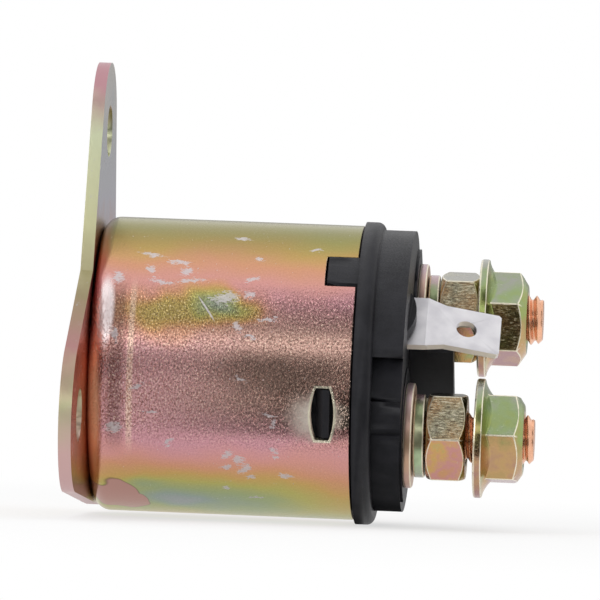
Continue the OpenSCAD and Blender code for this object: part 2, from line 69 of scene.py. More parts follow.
def makeCamera(spec):
    yaw, roll = math.radians(spec["yaw"]), math.radians(spec["roll"])
    back = Vector((math.sin(yaw), -math.cos(yaw), 0))
    level = Vector((math.cos(yaw), math.sin(yaw), 0))
    upright = back.cross(level)
    right = level * math.cos(roll) + upright * math.sin(roll)
    up = upright * math.cos(roll) - level * math.sin(roll)
    data = bpy.data.cameras.new("camera")
    data.sensor_width = spec["sensor"]
    data.lens = spec["sensor"] * spec["pixelsPerMm"] * spec["distance"] / spec["imageSize"]
    data.clip_start, data.clip_end = spec["clip"]
    made = bpy.data.objects.new("camera", data)
    place = Vector(spec["target"]) + back * spec["distance"]
    place -= right * spec["slideRight"] + up * spec["slideUp"]
    turn = Matrix((right, up, back)).transposed().to_4x4()
    made.matrix_world = Matrix.Translation(place * mm) @ turn
    bpy.context.scene.collection.objects.link(made)
    bpy.context.scene.camera = made


makeCamera(camera)
print("camera placed")


# Turns six hexadecimal digits into linear light.
def paint(code):
    parts = [int(code[i : i + 2], 16) / 255 for i in (0, 2, 4)]
    linear = [p / 12.92 if p <= 0.04045 else ((p + 0.055) / 1.055) ** 2.4 for p in parts]
    return (*linear, 1)


# A node tree built by calls. Each value given to one is a constant or another node's output.
class Graph:
    def __init__(self, owner, outputKind):
        owner.use_nodes = True
        self.nodes = owner.node_tree.nodes
        self.links = owner.node_tree.links
        self.nodes.clear()
        self.output = self.nodes.new(outputKind)

    def put(self, socket, value):
        if isinstance(value, bpy.types.NodeSocket):
            self.links.new(value, socket)
        else:
            socket.default_value = value

    def outputsOf(self, kind, inputs=None, **settings):
        node = self.nodes.new(kind)
        for key, value in settings.items():
            setattr(node, key, value)
        for key, value in (inputs or {}).items():
            self.put(node.inputs[key], value)
        return node.outputs

    def add(self, kind, inputs=None, output=0, **settings):
        return self.outputsOf(kind, inputs, **settings)[output]

    def surface(self, shader):
        self.links.new(shader, self.output.inputs["Surface"])

    def math(self, operation, a, b=0.5, c=0.5, clamp=False):
        return self.add("ShaderNodeMath", {0: a, 1: b, 2: c}, operation=operation, use_clamp=clamp)

    # Goes from start to end while the value goes from low to high.
    def step(self, value, low, high, start=0, end=1, kind="SMOOTHSTEP"):
        inputs = {"Value": value, "From Min": low, "From Max": high, "To Min": start, "To Max": end}
        return self.add("ShaderNodeMapRange", inputs, interpolation_type=kind)

    def apart(self, vector):
        return self.outputsOf("ShaderNodeSeparateXYZ", {0: vector})

    # 1 for rays that look, straight or by way of a mirror, and 0 for rays that only gather light
    def looking(self):
        rays = self.outputsOf("ShaderNodeLightPath")
        either = self.math("MAXIMUM", rays["Is Camera Ray"], rays["Is Glossy Ray"])
        return self.math("MAXIMUM", either, rays["Is Transmission Ray"])


class Recipe(Graph):
    def __init__(self, name):
        self.material = bpy.data.materials.new(name)
        super().__init__(self.material, "ShaderNodeOutputMaterial")
        self.shader = self.nodes.new("ShaderNodeBsdfPrincipled")
        self.surface(self.shader.outputs[0])
        coordinates = self.outputsOf("ShaderNodeTexCoord")
        inMm = (1 / mm, 1 / mm, 1 / mm)
        self.place = self.add("ShaderNodeMapping", {"Vector": coordinates["Object"], "Scale": inMm})
        self.normal = coordinates["Normal"]

    def noise(self, vector, scale, detail=2, rough=0.5, stretch=None):
        if stretch:
            vector = self.add("ShaderNodeMapping", {"Vector": vector, "Scale": stretch})
        inputs = {"Vector": vector, "Scale": scale, "Detail": detail, "Roughness": rough}
        return self.add("ShaderNodeTexNoise", inputs)

    # Shifts a plan here and there by a noise of this scale and detail.
    def loosened(self, plan, scale, detail, reach):
        shift = self.add("ShaderNodeTexNoise", {"Vector": plan, "Scale": scale, "Detail": detail}, 1)
        shift = self.add("ShaderNodeVectorMath", {0: shift, 1: (0.5, 0.5, 0.5)}, operation="SUBTRACT")
        shift = self.add("ShaderNodeVectorMath", {0: shift, "Scale": reach}, operation="SCALE")
        return self.add("ShaderNodeVectorMath", {0: plan, 1: shift}, operation="ADD")

    # Ovals on a plan: 1 in the middle of an oval, 0 at its edge and less outside
    def blobs(self, plan, ovals):
        highest = None
        for x, arc, halfLength, halfHeight, lean in ovals:
            inputs = {
                "Vector": plan,
                "Location": (x, arc, 0),
                "Rotation": (0, 0, math.radians(lean)),
                "Scale": (halfLength, halfHeight, 1),
            }
            inside = self.add("ShaderNodeMapping", inputs, vector_type="TEXTURE")
            away = self.add("ShaderNodeVectorMath", {0: inside}, 1, operation="LENGTH")
            near = self.math("SUBTRACT", 1.0, away)
            highest = near if highest is None else self.math("MAXIMUM", highest, near)
        return highest

    def ramp(self, value, stops):
        node = self.nodes.new("ShaderNodeValToRGB")
        self.links.new(value, node.inputs[0])
        elements = node.color_ramp.elements
        while len(elements) < len(stops):
            elements.new(1)
        for element, (at, code) in zip(elements, stops):
            element.position = at
            element.color = paint(code)
        return node.outputs[0]

    def mix(self, share, a, b):
        return self.add("ShaderNodeMix", {0: share, 6: a, 7: b}, 2, data_type="RGBA")

    # Lays a colour over another. A look is the colour laid, then a step.
    def tint(self, colour, value, look):
        code, *ends = look
        return self.mix(self.step(value, *ends), colour, paint(code))

    def bump(self, height, distance, strength=1.0, normal=None):
        inputs = {"Height": height, "Distance": distance * mm, "Strength": strength}
        if normal:
            inputs["Normal"] = normal
        return self.add("ShaderNodeBump", inputs)

    def finish(self, **inputs):
        for key, value in inputs.items():
            self.put(self.shader.inputs[key.replace("_", " ")], value)
        return self.material


# The studio is a white tent round a white table, with grey cards and softboxes for the metal to mirror.
white = (1, 1, 1, 1)
studio = {
    "fill": 0.5,  # what the tent gives to matt surfaces
    "table": {
        "size": 1400,  # mm
        "drop": 18.12,  # mm
        "colour": (0.92, 0.92, 0.92, 1),
        "selfShade": 0.35,  # how much of the part's shadow the table shows, close by
        "fade": (60, 170),  # mm over which the shadow fades out
    },
    # Each card: brightness at its right and at its left, the x in mm between which it changes, its two
    # ends in x, and its two long edges as (y, z)
    "cards": {
        "card_low": ((0.04, 0.9), (28, 4), (-48, 350), [(-24, -17.9), (-250, -17.9)]),
        "card_front": ((0.05, 0.75), (11, -14), (-48, 350), [(-250, -17.9), (-250, 50)]),
        "card_upper": ((0.14, 0.8), (13, -20), (-48, 350), [(-250, 132), (-250, 430)]),
        "card_back": ((0.5, 0.5), (0, 1), (-350, 350), [(300, -18), (300, 100)]),
    },
    # Each softbox: brightness, size, place and target in mm, and whether the metal mirrors it
    "softboxes": {
        "strip": (0.6, (600, 42), (-40, -250, 95), (20, 0, 0), True),
        "top": (1.0, (1100, 1100), (0, 100, 700), (20, 0, 0), False),
        "side": (2.6, (230, 230), (-270, -240, 125), (4, -12, 2), True),
    },
}


def makeWorld(fill):
    world = bpy.data.worlds.new("tent")
    bpy.context.scene.world = world
    g = Graph(world, "ShaderNodeOutputWorld")
    plain = g.add("ShaderNodeBackground", {"Color": white, "Strength": fill})
    bright = g.add("ShaderNodeBackground", {"Color": white})
    g.surface(g.add("ShaderNodeMixShader", {0: g.looking(), 1: plain, 2: bright}))


def sheetMesh(name, corners, face):
    mesh = bpy.data.meshes.new(name)
    mesh.from_pydata([Vector(c) * mm for c in corners], [], [face])
    made = bpy.data.objects.new(name, mesh)
    bpy.context.scene.collection.objects.link(made)
    return made


def makeTable(spec):
    half, z = spec["size"] / 2, -spec["drop"]
    corners = [(-half, -half, z), (half, -half, z), (half, half, z), (-half, half, z)]
    table = sheetMesh("table", corners, (0, 1, 2, 3))
    material = bpy.data.materials.new("table_white")
    g = Graph(material, "ShaderNodeOutputMaterial")
    place = g.outputsOf("ShaderNodeTexCoord")["Object"]
    away = g.add("ShaderNodeVectorMath", {0: place}, 1, operation="LENGTH")
    near, far = spec["fade"]
    clear = g.step(away, near * mm, far * mm, 1 - spec["selfShade"], 1)
    matt = g.add("ShaderNodeBsdfDiffuse", {"Color": spec["colour"]})
    share = g.math("MULTIPLY", g.looking(), clear)
    g.surface(g.add("ShaderNodeMixShader", {0: share, 1: matt, 2: g.add("ShaderNodeEmission")}))
    table.data.materials.append(material)


def makeCard(name, glow, fade, ends, edges):
    corners = [(x, y, z) for y, z in edges for x in ends]
    card = sheetMesh(name, corners, (0, 1, 3, 2))
    material = bpy.data.materials.new(name)
    g = Graph(material, "ShaderNodeOutputMaterial")
    x = g.apart(g.outputsOf("ShaderNodeTexCoord")["Object"])[0]
    right, left = fade
    strength = g.step(x, right * mm, left * mm, *glow, "LINEAR")
    g.surface(g.add("ShaderNodeEmission", {"Strength": strength}))
    card.data.materials.append(material)
    card.visible_camera = card.visible_diffuse = False
    card.visible_shadow = card.visible_transmission = False


def softbox(name, glow, size, place, target, mirrored):
    data = bpy.data.lights.new(name, "AREA")
    data.shape = "RECTANGLE"
    data.size, data.size_y = size[0] * mm, size[1] * mm
    data.energy = glow * math.pi * data.size * data.size_y
    made = bpy.data.objects.new(name, data)
    made.location = Vector(place) * mm
    made.rotation_euler = (Vector(target) - Vector(place)).to_track_quat("-Z", "Y").to_euler()
    made.visible_camera = False
    made.visible_glossy = mirrored
    bpy.context.scene.collection.objects.link(made)


makeWorld(studio["fill"])
makeTable(studio["table"])
for name, look in studio["cards"].items():
    makeCard(name, *look)
for name, look in studio["softboxes"].items():
    softbox(name, *look)
print("studio ready")


# In the finishes below, a noise is its scale, detail, roughness and stretch. A step is the two values between
# which it goes, then its results there. A look is a colour and a step.

# Yellow-passivated zinc drifts in hue with the film's thickness: pink where it is thin, then gold,
# green and grey.
filmColours = [
    (0.00, "D29BA4"),
    (0.16, "D89C94"),
    (0.32, "D69D7C"),
    (0.46, "CCA868"),
    (0.60, "BAB36A"),
    (0.74, "A2AD80"),
    (0.86, "98A69C"),
    (1.00, "A9A6B0"),
]

# The can is painted on its unrolled wall: x along the axis and arc up from the middle of the front, in mm.
# Height is from the middle, up or down, as a share of the radius. An oval is x, arc, half length, half
# height and lean in degrees.
canFinish = {
    "radius": 17.6,
    "film": (0.42, 1, 0.02, 0.6),  # thickness over the height
    # The film's drift is calmer in the thick spots.
    "drift": {"noise": (0.1, 3, 0.55, (0.6, 1, 1)), "reach": (0, 0.4, 0.5, 0.2)},
    "wander": (0.9, 3, 1.6),  # scale, detail and reach in mm of the noise that frays an outline
    "sway": (0.22, 1, 3.4),  # and of the one that bends it
    # Places with a thicker film: x, arc, half length, half height, and how much thicker
    "thickSpots": [
        (17.8, 8, 6.4, 3.6, 0.42), (11.5, 6.6, 15, 5, 0.5),
        (15, -18.2, 24, 8.2, 0.24), (12, -19.4, 6, 3.2, 0.13), (8, -16, 4.5, 1.8, 0.12),
    ],
    "spotEdge": (0, 0.9),
    # The front is plainer where the film is thin, more so toward the terminals.
    "plain": {
        "colour": "BE9C8C", "height": (0.2, 0.5, 1, 0), "x": (5, 26, 0.25, 0.85), "film": (0.2, 0.4, 1, 0),
    },
    # Painted shade: the top of the can is darkened toward olive.
    "topPaintedShade": ("827E48", 0.68, 0.96, 0, 0.8),
    # A turned step beside the round shoulder, shown by painted reflections: a dark line and a light line.
    # Each line is x, half width, colour and greatest share.
    "ripple": {
        "lines": [(4.9, 0.95, "5B423C", 0.55), (6.6, 0.4, "FADCC4", 0.6)],
        "fade": (0.4, 1.3), "height": (0.4, 0.62, 1, 0),
        "noise": (2.6, 3, 0.7), "uneven": (0.3, 0.55, 0.45, 1),
    },
    # Specks darker and lighter than the film round them, most of them on the front: dark painted reflection
    # specks and light painted glints
    "pepper": {
        "noise": (1, 2, 0.7, (4.6, 3.6, 1)), "height": (0.35, 0.6, 1, 0.12),
        "specks": [("634638", 0.36, 0.52, 0.62, 0), ("FFEBCF", 0.56, 0.68, 0, 0.5)],
    },
    # The low half of the shoulder is painted warm: a painted reflection of the side ear in front of it.
    "under": {"colour": "F49468", "x": (2.0, 3.4, 0.8, 0), "z": (-1, 5, 1, 0), "height": (0.7, 0.95, 1, 0)},
    # Patches in the order in which they are laid: the plan, the oval, and the look from its edge inward
    "patches": {
        # The glow is a painted reflection of the side ear, low on the shoulder.
        "glow": ("flat", (2.3, -5.4, 1.15, 11, 0), ("FFD0A8", 0, 0.7, 0, 0.9)),  # low on the shoulder
        "seam": ("flat", (31.8, -5.2, 2, 1.8, 0), ("F2DCC8", 0, 0.4, 0, 0.75)),  # from the slot to the rim
        # The sheen is a painted highlight, high on the shoulder.
        "shoulderHighlight": ("flat", (3.4, 6.6, 1.25, 5.4, 0), ("FFF2F2", 0, 0.5, 0, 0.92)),  # high on the shoulder
        # The dusk is a painted dark reflection, the darkest part of the front.
        "darkFrontReflection": ("level", (24, -0.6, 10, 3.6, -3), ("4A4034", 0, 0.7, 0, 0.5)),  # darkest part of the front
        "haze": ("loose", (28.4, -5.4, 4.2, 4, 0), ("DAD2C6", 0, 0.8, 0, 0.9)),  # round the slot
    },
    # The bright lip round each of the three slots, whose long sides are bowed: pressed bare steel with a
    # painted highlight along its edge
    "slots": {
        "count": 3, "at": 29.43, "arc": -5.07, "bow": 7.93, "bowRadius": 9.27, "half": 3.2,
        "lip": ("F1EAD2", 0.21, 0.39, 1, 0),
    },
    "stain": {
        "ovals": [(3.9, -19, 3.7, 3.9, 0), (6, -20.6, 2.4, 2.6, 0)],
        "inside": ("BB9187", 0, 0.03), "line": ("5E4A3E", 0, 0.045, 0.5, 0), "lineAt": 0.01,
    },
    "bareZinc": "CFC9CC",
    "scuffs": {
        "ovals": [
            (8.2, 14.8, 2, 0.5, -8), (8.3, 12.4, 0.8, 1.2, 10), (9.8, 10.7, 1.9, 0.5, -12),
            (11.4, 13.6, 1.9, 0.6, -10), (12.6, 12.4, 1.2, 0.9, 30), (13.2, 11, 2.3, 0.5, 6),
            (4.5, 11, 1.1, 1.3, 0), (4.7, 3.6, 0.6, 1.2, 15), (18.6, 18.8, 1.3, 0.5, -15),
            (21, 14.6, 0.6, 0.5, 0), (20.4, 11.4, 1.3, 0.6, 10), (17.4, 8.7, 2.4, 1.3, 8),
            (20.3, 9.2, 0.9, 0.7, 0), (22.6, 6.2, 1.9, 0.5, 8), (19, 5.2, 0.9, 0.9, -30),
            (20.6, 3.9, 1, 0.4, -20), (27.5, 16.9, 1, 0.4, 10), (19.6, -1, 1.2, 0.3, -30),
            (7.3, -2.5, 1.2, 0.6, 20), (9.3, -5.4, 1.2, 0.3, 0), (23.2, -5.2, 1.5, 0.3, -8),
            (23.5, -6.3, 0.4, 0.9, 0), (4.8, -7.7, 1.5, 0.8, 10), (11.4, -9.2, 1, 0.4, 35),
            (18.2, -10.8, 1, 0.6, 40), (19.6, -11.4, 0.8, 0.9, 0), (18.2, -12.7, 1, 0.5, 5),
            (20.2, -12.8, 0.9, 1.3, -30), (23.8, -9.8, 0.7, 0.6, 0), (21, -14.3, 0.8, 0.4, 0),
            (25.2, -13.8, 1.2, 0.4, -20), (18, -16.4, 0.5, 0.5, 0), (21.4, -18.2, 1.8, 0.3, 0),
            (24, -10.9, 0.4, 0.4, 0),
        ],
        "noise": (1, 4, 0.75, (1.6, 5, 1)), "broken": 2.6, "edge": (0.24, 0.6, 0, 0.8),
    },
    "scratch": {"oval": (15.3, 7.2, 2.5, 0.16, -56), "edge": (0.1, 0.5, 0, 0.85)},
    "specks": {"noise": (2.6, 2, 0.6, (1.4, 0.8, 1)), "edge": (0.68, 0.76, 0, 0.6)},
    "rim": ("FBE3D2", 0.3, 0.6, 0, 0.8),  # the cut edge at the open end
    "rough": {"film": 0.17, "bare": 0.42, "haze": 0.5},
    # How much less metallic a patch is, so that it shows its colour and not a mirror image
    "lessMetal": {"warm": 0.85, "shoulderHighlight": 0.3, "bare": 0.45},
    "grain": {"noise": (1, 3, 0.65, (8, 3.6, 3.6)), "depth": 0.02},
    "pits": {
        "noise": (1, 2, 0.6, (4.6, 3.4, 3.4)), "edge": (0.53, 0.68),
        "height": (0.35, 0.62, 1, 0.08), "depth": 0.06,
    },
    "waves": {"noise": (0.5, 2, 0.5), "depth": 0.02, "strength": 0.4},
}


def product(r, *factors):
    total = factors[0]
    for factor in factors[1:]:
        total = r.math("MULTIPLY", total, factor)
    return total


def canFilm(r, spec, level, height):
    thick = 0.0
    for x, arc, halfLength, halfHeight, more in spec["thickSpots"]:
        spot = r.blobs(level, [(x, arc, halfLength, halfHeight, 0)])
        thick = r.math("ADD", thick, r.step(spot, *spec["spotEdge"], 0, more))
    drift = r.math("SUBTRACT", r.noise(r.place, *spec["drift"]["noise"]), 0.5)
    drift = r.math("MULTIPLY", drift, r.step(thick, *spec["drift"]["reach"]))
    return r.math("ADD", r.step(height, *spec["film"]), r.math("ADD", thick, drift))


# Paints the reflections of the turned step as a dark line and a light line.
def paintedRippleReflection(r, spec, colour, x, flat, height):
    front = r.step(height, *spec["height"])
    uneven = r.step(r.noise(flat, *spec["noise"]), *spec["uneven"])
    for at, halfWidth, code, most in spec["lines"]:
        off = r.math("DIVIDE", r.math("ABSOLUTE", r.math("SUBTRACT", x, at)), halfWidth)
        share = product(r, r.step(off, *spec["fade"], most, 0), front, uneven)
        colour = r.mix(share, colour, paint(code))
    return colour


# Paints the grain's reflection as specks: dark painted reflection and light painted glints.
def paintedGlintSpecks(r, spec, colour, flat, height):
    pepper = r.noise(flat, *spec["noise"])
    grainy = r.step(height, *spec["height"])
    for code, *ends in spec["specks"]:
        colour = r.mix(product(r, r.step(pepper, *ends), grainy), colour, paint(code))
    return colour


# How far a point of the wall is outside the nearest slot, in mm
def besideSlots(r, spec, radius, x, arc):
    half = math.pi * radius / spec["count"]
    nearest = r.math("WRAP", arc, spec["arc"] + half, spec["arc"] - half)
    along = r.math("ABSOLUTE", r.math("SUBTRACT", nearest, spec["arc"]))
    across = r.math("ADD", r.math("ABSOLUTE", r.math("SUBTRACT", x, spec["at"])), spec["bow"])
    squares = r.math("ADD", r.math("POWER", across, 2), r.math("POWER", along, 2))
    pastBow = r.math("SUBTRACT", r.math("SQRT", squares), spec["bowRadius"])
    return r.math("MAXIMUM", pastBow, r.math("SUBTRACT", along, spec["half"]))


# Where the film is scraped off
def bareOnCan(r, spec, flat, loose):
    scuffs, scratch, specks = spec["scuffs"], spec["scratch"], spec["specks"]
    broken = r.math("SUBTRACT", r.noise(flat, *scuffs["noise"]), 0.5)
    broken = r.math("MULTIPLY", broken, scuffs["broken"])
    scuffed = r.step(r.math("ADD", r.blobs(loose, scuffs["ovals"]), broken), *scuffs["edge"])
    scratched = r.step(r.blobs(flat, [scratch["oval"]]), *scratch["edge"])
    speckled = r.step(r.noise(flat, *specks["noise"]), *specks["edge"])
    return r.math("MAXIMUM", r.math("MAXIMUM", scuffed, scratched), speckled)


def chromateCan(spec):
    r = Recipe("can_chromate")
    radius = spec["radius"]
    x, y, z = r.apart(r.place)
    arc = r.math("MULTIPLY", r.math("ARCTAN2", z, r.math("MULTIPLY", y, -1)), radius)
    flat = r.add("ShaderNodeCombineXYZ", {0: x, 1: arc, 2: 0.0})
    loose = r.loosened(flat, *spec["wander"])
    swayed = r.loosened(flat, *spec["sway"])
    level = r.add("ShaderNodeVectorMath", {0: swayed, 1: (1, 1, 0)}, operation="MULTIPLY")
    upward = r.math("DIVIDE", z, radius)
    height = r.math("ABSOLUTE", upward)

    film = canFilm(r, spec, level, height)
    colour = r.ramp(film, filmColours)
    plain = spec["plain"]
    share = product(r, r.step(height, *plain["height"]), r.step(x, *plain["x"]), r.step(film, *plain["film"]))
    colour = r.mix(share, colour, paint(plain["colour"]))
    # Painted shade darkens the top of the can.
    colour = r.tint(colour, upward, spec["topPaintedShade"])
    colour = paintedRippleReflection(r, spec["ripple"], colour, x, flat, height)
    colour = paintedGlintSpecks(r, spec["pepper"], colour, flat, height)

    # Painted reflection: the low shoulder is painted warm for the side ear in front of it.
    warm = spec["under"]
    under = product(r, r.step(x, *warm["x"]), r.step(z, *warm["z"]), r.step(height, *warm["height"]))
    colour = r.mix(under, colour, paint(warm["colour"]))
    # Three of the patches are painted light: a painted reflection and a painted highlight on the shoulder,
    # and a painted dark reflection on the front.
    plans = {"flat": flat, "loose": loose, "level": level}
    patches = {}
    for name, (plan, oval, (code, *ends)) in spec["patches"].items():
        patches[name] = r.step(r.blobs(plans[plan], [oval]), *ends)
        colour = r.mix(patches[name], colour, paint(code))

    # The slots' lips are painted bright: bare steel with a painted highlight.
    colour = r.tint(colour, besideSlots(r, spec["slots"], radius, x, arc), spec["slots"]["lip"])
    stain = spec["stain"]
    inward = r.blobs(swayed, stain["ovals"])
    colour = r.tint(colour, inward, stain["inside"])
    colour = r.tint(colour, r.math("ABSOLUTE", r.math("SUBTRACT", inward, stain["lineAt"])), stain["line"])
    bare = bareOnCan(r, spec, flat, loose)
    colour = r.mix(bare, colour, paint(spec["bareZinc"]))
    colour = r.tint(colour, r.apart(r.normal)[0], spec["rim"])

    roughness, less = spec["rough"], spec["lessMetal"]
    rough = r.step(bare, 0, 1, roughness["film"], roughness["bare"])
    rough = r.math("ADD", rough, r.math("MULTIPLY", patches["haze"], roughness["haze"]))
    warmed = r.math("MULTIPLY", r.math("MAXIMUM", under, patches["glow"]), less["warm"])
    metal = r.math("SUBTRACT", 1.0, warmed)
    metal = r.math("SUBTRACT", metal, r.math("MULTIPLY", patches["shoulderHighlight"], less["shoulderHighlight"]))
    dull = r.math("MULTIPLY", r.math("MAXIMUM", bare, patches["haze"]), less["bare"])
    metal = r.math("SUBTRACT", metal, dull, clamp=True)

    grain, pits, waves = spec["grain"], spec["pits"], spec["waves"]
    normal = r.bump(r.noise(r.place, *grain["noise"]), grain["depth"])
    pitted = r.step(r.noise(r.place, *pits["noise"]), *pits["edge"])
    normal = r.bump(pitted, pits["depth"], r.step(height, *pits["height"]), normal)
    normal = r.bump(r.noise(r.place, *waves["noise"]), waves["depth"], waves["strength"], normal)
    return r.finish(Base_Color=colour, Metallic=metal, Roughness=rough, Normal=normal)


bracketFinish = {
    # Film colours of the broad faces and of the cut edge, from the low end of the plate to the high end
    "facing": [
        (0.0, "9A8560"), (0.22, "A8825A"), (0.4, "EE8C64"), (0.6, "C08E88"), (0.74, "B8B4C2"),
        (0.84, "B6B8BC"), (1.0, "D0C8C0"),
    ],
    "cut": [
        (0.0, "B8949A"), (0.25, "CDAAA6"), (0.355, "BCB894"), (0.456, "B28482"), (0.55, "9E9070"),
        (0.68, "D2D0A6"), (0.86, "D7DCB9"), (0.95, "BF9198"),
    ],
    "ends": (-26, 36),  # z of the ramps' two ends, in mm
    "broad": (0.35, 0.7),  # how squarely a face looks along the axis, from the cut edge to the broad faces
    "back": ("B8AC8E", -0.9, -0.6, 0.7, 0),  # over the face that looks backward
    "drift": {"noise": (0.16, 3, 0.55), "onFaces": 0.3, "onEdge": 0.1},
    "worn": {
        "noise": (0.8, 5, 0.75, (1, 0.6, 0.6)), "edge": (0.62, 0.7, 0, 0.6),
        "colour": "C6C2C4", "rough": 0.15,
    },
    "rough": (0.36, 0.24),  # on the cut edge and on the broad faces
    "grain": {"noise": (1, 3, 0.6, (6, 1.6, 1.6)), "depth": 0.012},
}


def chromateBracket(spec):
    r = Recipe("bracket_chromate")
    forward = r.apart(r.normal)[0]
    facing = r.math("ABSOLUTE", forward)
    drift = r.math("SUBTRACT", r.noise(r.place, *spec["drift"]["noise"]), 0.5)
    up = r.step(r.apart(r.place)[2], *spec["ends"], 0, 1, "LINEAR")
    onFaces = r.math("ADD", up, r.math("MULTIPLY", drift, spec["drift"]["onFaces"]))
    onEdge = r.math("ADD", up, r.math("MULTIPLY", drift, spec["drift"]["onEdge"]))
    broad = r.step(facing, *spec["broad"])
    colour = r.mix(broad, r.ramp(onEdge, spec["cut"]), r.ramp(onFaces, spec["facing"]))
    colour = r.tint(colour, forward, spec["back"])
    worn = r.step(r.noise(r.place, *spec["worn"]["noise"]), *spec["worn"]["edge"])
    colour = r.mix(worn, colour, paint(spec["worn"]["colour"]))
    rough = r.step(facing, *spec["broad"], *spec["rough"])
    rough = r.math("ADD", rough, r.math("MULTIPLY", worn, spec["worn"]["rough"]))
    grain = r.bump(r.noise(r.place, *spec["grain"]["noise"]), spec["grain"]["depth"])
    return r.finish(Base_Color=colour, Metallic=1, Roughness=rough, Normal=grain)


# Small zinc-plated hardware. Each list of colours runs from the faces turned up to the faces turned down.
# A nut's range of that turn marks the side faces that carry saw streaks, painted dark as a painted reflection
# with light painted glints, and "edge" is how far a washer's rounded edge leans where it takes wear and a
# painted highlight.
hardware = {
    "nut_chromate": {
        "facing": [
            (0.0, "9A998E"), (0.22, "AFA98E"), (0.42, "BE9F78"), (0.6, "CC9A72"), (0.72, "CB938E"),
            (0.84, "CFA66A"), (1.0, "A2B480"),
        ],
        "drift": 0.8, "grain": 0.02, "rough": 0.22, "metal": 1, "sawnReflection": (0.1, 0.75),
    },
    "flange_nut_chromate": {
        "facing": [
            (0.0, "A3A49A"), (0.2, "97A87A"), (0.38, "9AA662"), (0.52, "A89A66"), (0.68, "C4A070"),
            (1.0, "A87E80"),
        ],
        "drift": 0.8, "grain": 0.014, "rough": 0.2, "metal": 0.95, "sawnReflection": (-0.34, 0.0),
    },
    "washer_chromate": {
        "facing": [(0.0, "C8B0B4"), (0.35, "CFAA96"), (0.6, "CBA88A"), (1.0, "C8A298")],
        "drift": 0.6, "grain": 0.012, "rough": 0.36, "metal": 0.6, "edge": (0.25, 0.5, 0.85, 0.97),
    },
    "lock_washer_steel": {
        "facing": [
            (0.0, "BCA2A8"), (0.3, "8E9C74"), (0.5, "B9BC98"), (0.62, "99A884"), (0.8, "B6CCA4"),
            (1.0, "AEB0A2"),
        ],
        "drift": 0.8, "grain": 0.014, "rough": 0.24, "metal": 0.7,
    },
}

# The wear that all the hardware shares
hardwareWear = {
    "patch": (0.34, 3, 0.6),
    "worn": {
        "noise": (2.2, 4, 0.7, (1.6, 1, 1)), "edge": (0.64, 0.74), "most": 0.55,
        "colour": "D2CCC4", "rough": 0.12,
    },
    "sawnReflection": {"edge": 0.06, "along": (0.1, 0.2, 1, 0), "depth": (0, 1, 0.5, 2.4)},
    # The streaks' dark colour is a painted reflection and their light colour painted glints.
    "streaks": {
        "noise": (1, 4, 0.75, (1.6, 6, 6)),
        "dark": ("5C422E", 0.38, 0.5, 0.8, 0), "light": ("F6EACB", 0.53, 0.64, 0, 0.8),
    },
    # Rounded edges are painted near white: wear and a painted highlight.
    "wearAndHighlight": {"noise": (1.4, 3, 0.7), "patchy": (0.3, 0.5, 0.45, 0.95), "colour": "FFF6DE", "metal": 0.5},
    "pits": (5.5, 2, 0.6),
}


def chromateHardware(name, spec, wear):
    r = Recipe(name)
    along, _, turn = r.apart(r.normal)
    lean = r.math("ABSOLUTE", along)
    patch = r.math("SUBTRACT", r.noise(r.place, *wear["patch"]), 0.5)
    film = r.math("ADD", r.step(turn, -1, 1, 1, 0, "LINEAR"), r.math("MULTIPLY", patch, spec["drift"]))
    colour = r.ramp(film, spec["facing"])
    most = wear["worn"]["most"]
    worn = r.step(r.noise(r.place, *wear["worn"]["noise"]), *wear["worn"]["edge"], 0, most)
    colour = r.mix(worn, colour, paint(wear["worn"]["colour"]))

    # Faces cut by a saw carry fine streaks along the nut, light on dark: the dark streaks are a painted
    # reflection and the light ones painted glints.
    sawnReflection = 0.0
    if "sawnReflection" in spec:
        (low, high), edge = spec["sawnReflection"], wear["sawnReflection"]["edge"]
        within = r.math("MULTIPLY", r.step(turn, low, low + edge), r.step(turn, high - edge, high, 1, 0))
        sawnReflection = r.math("MULTIPLY", within, r.step(lean, *wear["sawnReflection"]["along"]))
    streaks = r.noise(r.place, *wear["streaks"]["noise"])
    code, *ends = wear["streaks"]["dark"]
    colour = r.mix(r.math("MULTIPLY", sawnReflection, r.step(streaks, *ends)), colour, paint(code))
    code, *ends = wear["streaks"]["light"]
    bright = r.math("MULTIPLY", sawnReflection, r.step(streaks, *ends))
    colour = r.mix(bright, colour, paint(code))

    # Rounded edges are rubbed bright and carry a painted highlight.
    wearAndHighlight = r.add("ShaderNodeAttribute", output=2, attribute_name="wearAndHighlight")
    if "edge" in spec:
        low, lowEnd, high, highEnd = spec["edge"]
        wearAndHighlight = r.math("MULTIPLY", r.step(lean, low, lowEnd), r.step(lean, high, highEnd, 1, 0))
    rub = wear["wearAndHighlight"]
    wearAndHighlight = r.math("MULTIPLY", wearAndHighlight, r.step(r.noise(r.place, *rub["noise"]), *rub["patchy"]))
    colour = r.mix(wearAndHighlight, colour, paint(rub["colour"]))

    relief = r.math("MULTIPLY", streaks, r.step(sawnReflection, *wear["sawnReflection"]["depth"]))
    relief = r.math("ADD", relief, r.noise(r.place, *wear["pits"]))
    rough = r.step(worn, 0, 0.5, spec["rough"], spec["rough"] + wear["worn"]["rough"])
    metal = r.step(r.math("MAXIMUM", wearAndHighlight, bright), 0, 1, spec["metal"], rub["metal"])
    return r.finish(Base_Color=colour, Metallic=metal, Roughness=rough, Normal=r.bump(relief, spec["grain"]))


# Distance between the studs in mm, and the terminals' turn about the can's axis in degrees
terminals = {"spacing": 19.6, "turn": 43.5}

tinFinish = {
    "face": "E9E7EA",
    "cloud": "DCDADF",
    "sheared": ("F6EBDC", 0.55, 0.8),  # on the blade's narrow sides
    "shearedMetal": 0.25,
    "turn": terminals["turn"],
    "clouds": {"noise": (0.5, 3, 0.5), "colour": (0.2, 0.9), "rough": (0.3, 0.7, 0.41, 0.54)},
    "grain": {"noise": (7, 3, 0.6, (1, 0.5, 0.5)), "depth": 0.006},
}


